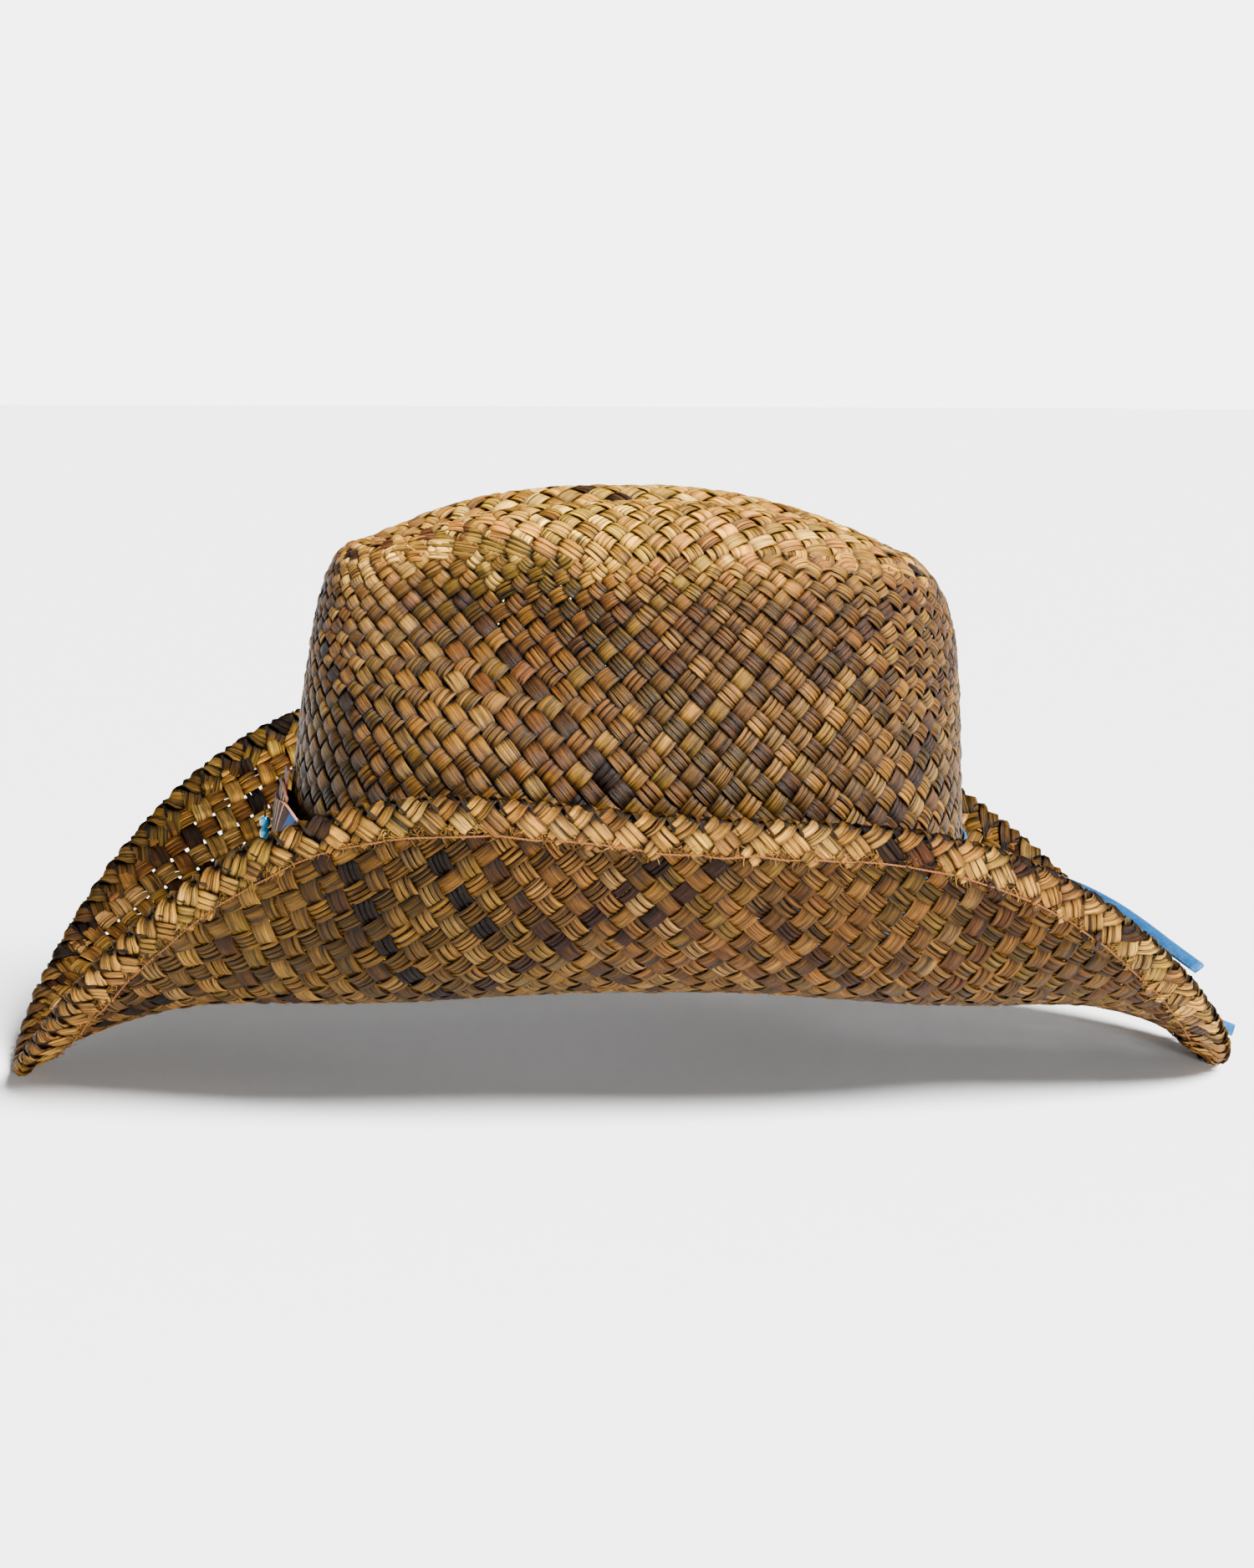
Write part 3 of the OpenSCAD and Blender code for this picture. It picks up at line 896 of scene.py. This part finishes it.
def strap_section(side, up, width, thick, sides=12):
    a = -TAU * np.arange(sides) / sides
    wide = np.sign(np.cos(a)) * np.abs(np.cos(a)) ** 0.35 * width / 2
    tall = np.sign(np.sin(a)) * np.abs(np.sin(a)) ** 0.5 * thick / 2
    return side[:, None] * wide[:, None] + up[:, None] * tall[:, None]


def flat_strap(path, width, thick, face):
    """Rings of a flat strap along a path in millimetres, with its broad side turned towards face."""
    tangent = unit(np.gradient(path, axis=0))
    side = unit(np.cross(tangent, np.array(face)))
    return path[:, None] + strap_section(side, np.cross(side, tangent), width, thick)


def flat_loop(path, width, thick):
    """A closed strap whose flat side faces away from the loop's middle."""
    tangent = np.gradient(path, axis=0)
    tangent[0] = tangent[-1] = path[1] - path[-2]
    up = unit(path - path[:-1].mean(0))
    side = unit(np.cross(unit(tangent), up))
    return path[:, None] + strap_section(side, np.cross(side, unit(tangent)), width, thick)


# ---- ornament ----
FAN_Z = 58.0
FAN_START = 0.3
FAN_T = 1.0
FAN_GAP = 0.1
BAND_OUT = 2.8
FANS = {  # layer, half angle in degrees, length of the rays, and how much longer the outer rays are
    "fan_rear": (0, 13, 35, 0), "fan_middle": (1, 32, 31, 1), "fan_front": (2, 58, 26, 15)}


def fan_face(layer, spread, ray, flare, share, off):
    a = np.radians(spread) * share[:, None]
    q = np.linspace(FAN_START, 1, 15)[None]
    r = (ray + flare * share[:, None] ** 2) * q * (1 + 0.012 * np.sin(9 * a + layer))
    z = FAN_Z + r * np.cos(a)
    return wall_point(r * np.sin(a) / FOOT[0], z, BAND_OUT + FAN_GAP + layer * (FAN_T + FAN_GAP) + off)


def make_fan(name, painted, raw):
    share = np.linspace(-1, 1, 61)
    front, back = (fan_face(*FANS[name], share, off) for off in (FAN_T, 0.0))
    rows, cols = front.shape[:2]
    at = np.arange(rows * cols).reshape(rows, cols)
    under = at + rows * cols
    cells = np.stack([at[:-1, :-1], at[:-1, 1:], at[1:, 1:], at[1:, :-1]], -1).reshape(-1, 4)
    rim = np.concatenate([at[:-1, 0], at[-1, :-1], at[:0:-1, -1], at[0, :0:-1]])
    after = np.roll(rim, -1)
    walls = np.stack([rim, after, after + rows * cols, rim + rows * cols], -1)
    quads = np.concatenate([cells, under.flat[cells[:, ::-1]], walls])
    points = np.concatenate([front.reshape(-1, 3), back.reshape(-1, 3)])
    piece = make_mesh(name + "_leather", points, quads, painted)
    piece.data.materials.append(raw)
    index = np.zeros(len(quads), np.int32)
    index[-len(walls):] = 1
    piece.data.polygons.foreach_set("material_index", index)
    fibre = np.zeros((len(points), 3))
    fibre[:, 0] = np.tile(np.repeat(share * FANS[name][1] / FANS["fan_front"][1], cols), 2)
    set_fibre(piece, fibre)
    bevel = piece.modifiers.new("edge", "BEVEL")
    bevel.width = 0.18 * MM
    bevel.segments = 2
    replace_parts(ride(piece), name)


def make_ornament():
    painted = painted_material()
    raw = leather_material("raw_leather_edge", (0.34, 0.13, 0.075), (0.42, 0.19, 0.12), 1500.0, 0.8)
    for name in FANS:
        make_fan(name, painted, raw)


def dress_nodes(materials):
    """Give the CAD nodes that stay in sight their materials."""
    for name, material in materials.items():
        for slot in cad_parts[name].material_slots:
            slot.material = material


# ---- materials ----
def new_material(name, **settings):
    material = bpy.data.materials.new(name)
    material.use_nodes = True
    shader = material.node_tree.nodes["Principled BSDF"]
    for key, value in settings.items():
        shader.inputs[key.replace("_", " ")].default_value = value
    return material, material.node_tree, shader


def add(tree, kind, links=(), **settings):
    """Node of a kind, with its sockets linked or set and its properties set."""
    node = tree.nodes.new(kind)
    for key, value in settings.items():
        setattr(node, key, value)
    for socket, value in dict(links).items():
        target = node.inputs[socket]
        if isinstance(value, bpy.types.NodeSocket):
            tree.links.new(value, target)
        else:
            target.default_value = value
    return node


def stretched_noise(tree, vector, scale, detail, rough):
    """Noise that is drawn out along the fibres."""
    laid = add(tree, "ShaderNodeMapping", {"Vector": vector, "Scale": scale})
    return add(tree, "ShaderNodeTexNoise", {
        "Vector": laid.outputs[0], "Scale": 1.0, "Detail": detail, "Roughness": rough}).outputs["Fac"]


def even_noise(tree, scale, detail, rough):
    """Noise in space, the same along every axis."""
    place = add(tree, "ShaderNodeNewGeometry").outputs["Position"]
    return stretched_noise(tree, place, (scale, scale, scale), detail, rough)


def axis_of(tree, vector, axis):
    return add(tree, "ShaderNodeSeparateXYZ", {0: vector}).outputs[axis]


def fibre_of(tree):
    return add(tree, "ShaderNodeAttribute", attribute_name="fibre").outputs["Vector"]


def ranged(tree, value, low, high, to_low=0.0, to_high=1.0):
    return add(tree, "ShaderNodeMapRange", {
        "Value": value, "From Min": low, "From Max": high, "To Min": to_low, "To Max": to_high}).outputs[0]


def mixed(tree, share, a, b, mode="MIX"):
    return add(tree, "ShaderNodeMix", {0: share, 6: a, 7: b}, data_type="RGBA", blend_type=mode).outputs[2]


def tinted(tree, colour, by):
    return mixed(tree, 1.0, colour, by, "MULTIPLY")


def multiplied(tree, colour, *values):
    """A colour made lighter or darker by numbers."""
    for value in values:
        grey = add(tree, "ShaderNodeCombineColor", {0: value, 1: value, 2: value}).outputs[0]
        colour = tinted(tree, colour, grey)
    return colour


def cover(tree, shader, colour, height, strength, distance):
    """Give a shader its colour and its bump."""
    tree.links.new(colour, shader.inputs["Base Color"])
    bump = add(tree, "ShaderNodeBump", {"Strength": strength, "Distance": distance, "Height": height})
    tree.links.new(bump.outputs[0], shader.inputs["Normal"])


def raffia_material(name, gloss, under, above, dust, tip=1.0):
    """Streaky raffia. Under, above and tip scale the colour of faces that look down, of faces that look
    up, and of the crown's tip, as painted light and shade. Dust raises the blue, which greys it."""
    material, tree, shader = new_material(name, Specular_IOR_Level=gloss)
    paint = add(tree, "ShaderNodeAttribute", attribute_name="tint").outputs
    fibre = fibre_of(tree)
    surface = add(tree, "ShaderNodeNewGeometry").outputs
    facing = axis_of(tree, surface["Normal"], 2)
    height = axis_of(tree, surface["Position"], 2)
    streak = stretched_noise(tree, fibre, (0.05, 2.2, 1.0), 4.0, 0.65)
    fine = stretched_noise(tree, fibre, (0.10, 8.0, 1.0), 3.0, 0.7)
    split = stretched_noise(tree, fibre, (0.035, 4.2, 1.0), 1.0, 0.5)
    blotch = stretched_noise(tree, fibre, (0.12, 0.6, 1.0), 3.0, 0.6)
    patch = even_noise(tree, 11.0, 2.0, 0.5)
    # Streak and fine vary the straw's own colour; split paints narrow dark lines along the fibres, painted
    # shade in the splits between them.
    colour = multiplied(tree, paint["Color"], ranged(tree, streak, 0.33, 0.68, 0.22, 1.85),
                        ranged(tree, fine, 0.35, 0.65, 0.55, 1.45),
                        ranged(tree, split, 0.33, 0.40, 0.22, 1.0))
    for share, stain in ((ranged(tree, blotch, 0.50, 0.66, 0.0, 0.65), (0.72, 0.54, 0.36, 1)),
                         (ranged(tree, patch, 0.45, 0.65, 0.0, 0.6), (0.84, 0.98, 0.55, 1))):
        colour = mixed(tree, share, colour, tinted(tree, colour, stain))
    # The alpha factor is painted shade and light: darker where a strand dips under its neighbour and at its
    # edges, lighter on its raised middle. The facing factor is painted light and shade, set by under and
    # above.
    colour = multiplied(tree, colour, ranged(tree, paint["Alpha"], 0.25, 0.95, 0.08, 1.2),
                        ranged(tree, facing, -0.45, 0.45, under, above))
    # Painted light on the crown's top: from 0.148 m up, the colour blends into one scaled by tip and made a
    # little paler.
    painted_top_light = tinted(tree, colour, (tip, 1.12 * tip, 1.15 * tip, 1))
    colour = mixed(tree, ranged(tree, height, 0.148, 0.168), colour, painted_top_light)
    colour = tinted(tree, colour, (1.0, 1 + 0.06 * dust, 1 + dust, 1))
    tree.links.new(ranged(tree, streak, 0.3, 0.7, 0.36, 0.60), shader.inputs["Roughness"])
    relief = streak
    for finer in (fine, split):
        relief = add(tree, "ShaderNodeMath", {0: relief, 1: finer}, operation="ADD").outputs[0]
    cover(tree, shader, colour, relief, 0.8, 0.0006)
    return material


def suede_material():
    material, tree, shader = new_material("blue_suede", Roughness=0.95, Specular_IOR_Level=0.0)
    across = axis_of(tree, fibre_of(tree), 1)
    nap = even_noise(tree, 1400.0, 4.0, 0.7)
    worn = even_noise(tree, 160.0, 3.0, 0.6)
    base = mixed(tree, ranged(tree, worn, 0.35, 0.65), (0.005, 0.036, 0.105, 1), (0.012, 0.058, 0.145, 1))
    base = mixed(tree, ranged(tree, across, 0.80, 1.0, 0.0, 0.5), base, (0.04, 0.11, 0.21, 1))
    colour = multiplied(tree, base, ranged(tree, nap, 0.3, 0.7, 0.7, 1.3))
    cover(tree, shader, colour, nap, 0.5, 0.0003)
    return material


def thread_material(name, colour):
    """Twisted thread: fine slanting plies."""
    material, tree, shader = new_material(name, Roughness=0.75, Specular_IOR_Level=0.1)
    wave = {"Vector": fibre_of(tree), "Scale": 0.5, "Distortion": 0.6, "Detail": 2.0}
    ply = add(tree, "ShaderNodeTexWave", wave, bands_direction="DIAGONAL").outputs["Fac"]
    shade = multiplied(tree, (*colour, 1), ranged(tree, ply, 0.1, 0.9, 0.5, 1.25))
    cover(tree, shader, shade, ply, 0.6, 0.0002)
    return material


def leather_material(name, low, high, pore=900.0, rough=0.55):
    material, tree, shader = new_material(name, Roughness=rough, Specular_IOR_Level=0.15)
    place = add(tree, "ShaderNodeNewGeometry").outputs["Position"]
    cells = {"Vector": place, "Scale": pore}
    grain = add(tree, "ShaderNodeTexVoronoi", cells, feature="SMOOTH_F1").outputs[0]
    tone = even_noise(tree, 90.0, 4.0, 0.6)
    colour = mixed(tree, ranged(tree, tone, 0.35, 0.65), (*low, 1), (*high, 1))
    colour = multiplied(tree, colour, ranged(tree, grain, 0.1, 0.7, 1.15, 0.75))
    cover(tree, shader, colour, grain, 0.35, 0.0003)
    return material


# Painted rays of the ornament: where each starts, as a share of the fan's half angle, and its colour
BARE = (0.016, 0.006, 0.004)
CREAM = (0.38, 0.23, 0.12)
SPECKLED = (0.030, 0.075, 0.12)
BLUE = (0.006, 0.07, 0.22)
RAYS = ((0.0, BARE), (0.10, SPECKLED), (0.20, BARE), (0.30, CREAM), (0.335, BARE), (0.46, CREAM),
        (0.495, BARE), (0.62, CREAM), (0.655, BARE), (0.82, BLUE), (0.93, BARE))


def painted_material():
    """Dark leather with painted rays: the ray coordinate is the angle's share."""
    material, tree, shader = new_material("painted_leather", Roughness=0.6, Specular_IOR_Level=0.02)
    speck = even_noise(tree, 1500.0, 4.0, 0.8)
    angle = axis_of(tree, fibre_of(tree), 0)
    share = add(tree, "ShaderNodeMath", {0: angle}, operation="ABSOLUTE").outputs[0]
    ramp = add(tree, "ShaderNodeValToRGB", {"Fac": share})
    ramp.color_ramp.interpolation = "CONSTANT"
    for start, _ in RAYS[1:]:
        ramp.color_ramp.elements.new(start)
    stops = sorted(ramp.color_ramp.elements, key=lambda e: e.position)
    for stop, (_, colour) in zip(stops, (*RAYS, RAYS[-1])):
        stop.color = (*colour, 1)
    worn = mixed(tree, ranged(tree, speck, 0.48, 0.62, 0.0, 0.6), ramp.outputs["Color"],
                 (0.11, 0.035, 0.025, 1))
    cover(tree, shader, worn, speck, 0.4, 0.0002)
    return material


def bead_material():
    material, tree, shader = new_material("turquoise_glass", Roughness=0.12, Coat_Weight=0.6)
    vein = even_noise(tree, 700.0, 3.0, 0.6)
    colour = mixed(tree, ranged(tree, vein, 0.4, 0.65), (0.0, 0.17, 0.36, 1), (0.01, 0.27, 0.45, 1))
    tree.links.new(colour, shader.inputs["Base Color"])
    return material


def wire_material():
    material, tree, shader = new_material("drawn_wire", Metallic=1.0)
    scratch = even_noise(tree, 600.0, 3.0, 0.6)
    colour = mixed(tree, scratch, (0.42, 0.41, 0.39, 1), (0.55, 0.54, 0.52, 1))
    tree.links.new(colour, shader.inputs["Base Color"])
    tree.links.new(ranged(tree, scratch, 0.3, 0.7, 0.25, 0.45), shader.inputs["Roughness"])
    return material


# ---- camera, stage and light ----
def make_camera():
    forward = Vector((-math.sin(CAM_AZIMUTH) * math.cos(CAM_ELEVATION),
                      math.cos(CAM_AZIMUTH) * math.cos(CAM_ELEVATION), -math.sin(CAM_ELEVATION)))
    right = Vector((math.cos(CAM_AZIMUTH), math.sin(CAM_AZIMUTH), 0))
    up = right.cross(forward)
    turn = Matrix((right, up, -forward)).transposed().to_4x4()
    camera = bpy.data.objects.new("camera", bpy.data.cameras.new("camera"))
    camera.data.lens = CAM_LENS
    camera.data.sensor_width = 36
    camera.data.clip_end = 20
    camera.matrix_world = Matrix.Translation(CAM_TARGET - forward * CAM_DISTANCE) @ turn @ Matrix.Rotation(
        CAM_ROLL, 4, "Z")
    link(camera)
    bpy.context.scene.camera = camera


FLOOR_HALF = 4000


def make_stage():
    material, tree, shader = new_material("floor", Roughness=0.9)
    grain = even_noise(tree, 40.0, 2.0, 0.5)
    colour = mixed(tree, grain, (0.93, 0.93, 0.93, 1), (0.95, 0.95, 0.95, 1))
    tree.links.new(colour, shader.inputs["Base Color"])
    corners = FLOOR_HALF * np.array([(-1, -1, 0), (1, -1, 0), (1, 1, 0), (-1, 1, 0)], float)
    floor = make_mesh("floor", corners, np.array([[0, 1, 2, 3]]), material)


def add_light(kind, name, place, heading, **settings):
    lamp = bpy.data.lights.new(name, kind)
    for key, value in settings.items():
        setattr(lamp, key, value)
    light = bpy.data.objects.new(name, lamp)
    light.location = place
    light.rotation_mode = "QUATERNION"
    light.rotation_quaternion = Vector(heading).to_track_quat("-Z", "Y")
    link(light)


def make_lights():
    """A white studio, bright round the horizon: the main light comes from above the camera's right."""
    world = bpy.data.worlds.new("studio")
    world.use_nodes = True
    tree = world.node_tree
    ahead = add(tree, "ShaderNodeTexCoord").outputs["Generated"]
    height = axis_of(tree, ahead, 2)
    sky = tree.nodes["Background"].inputs
    tree.links.new(ranged(tree, height, 0.09, 0.16, 5.6, 0.15), sky["Strength"])
    sky["Color"].default_value = (1, 1, 1, 1)
    bpy.context.scene.world = world
    add_light("SUN", "overhead", (0, 0, 0), (-0.82, -0.66, -0.95), energy=22.0, angle=math.radians(28))
    add_light("AREA", "front_low", (1.45, 0.4, 0.07), (-1.45, -0.4, 0.01), shape="DISK", size=0.13, energy=55)


# ---- lace tails ----
def strap_fibre(rings, width):
    """Fibre coordinates of a strap: distance along it, and place across it."""
    middle = rings.mean(1, keepdims=True)
    across = np.linalg.norm(rings - middle, axis=2) / (width / 2)
    return fibre_grid(run_of(middle[:, 0]), across, 0.0)


def make_lace(name, route, material):
    path = spline(np.array(route) / MM, 4)
    width = LACE_W * 0.96
    rings = flat_strap(path, width, LACE_T, LACE_FACE)
    strap = Ribbons()
    strap.add(rings, None, strap_fibre(rings, width))
    piece = strap.build(name + "_suede", material, "suede")
    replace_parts(piece, name)


make_camera()
suede = suede_material()
tan_thread = thread_material("tan_thread", (0.12, 0.042, 0.012))
# Under and above paint light and shade by which way a face looks: the hem's and the brim's undersides lighter
# than their tops, the crown's downward faces darker than its upward ones. Tip paints light on the crown's
# top.
hem_raffia = raffia_material("hem_raffia", gloss=0.06, under=0.95, above=0.29, dust=0.1)
make_lace("lace_tail_left", LEFT_ROUTE, suede)
make_lace("lace_tail_right", RIGHT_ROUTE, suede)
weave_pieces({"crown": raffia_material("crown_raffia", gloss=0.12, under=0.20, above=0.33, dust=0.0, tip=5.0),
              "brim": raffia_material("brim_raffia", gloss=0.05, under=3.6, above=0.40, dust=0.7)})
make_hem(hem_raffia)
make_hem_thread(tan_thread)
make_bands(suede, leather_material("sweatband_leather", (0.065, 0.026, 0.010), (0.10, 0.042, 0.018), 700.0))
make_sweatband_stitches(tan_thread)
make_knot(suede)
make_ornament()
beads = bead_material()
dress_nodes({"bead_lower": beads, "bead_upper": beads, "bead_thread": tan_thread,
             "hem_wire": wire_material()})
make_stage()
make_lights()
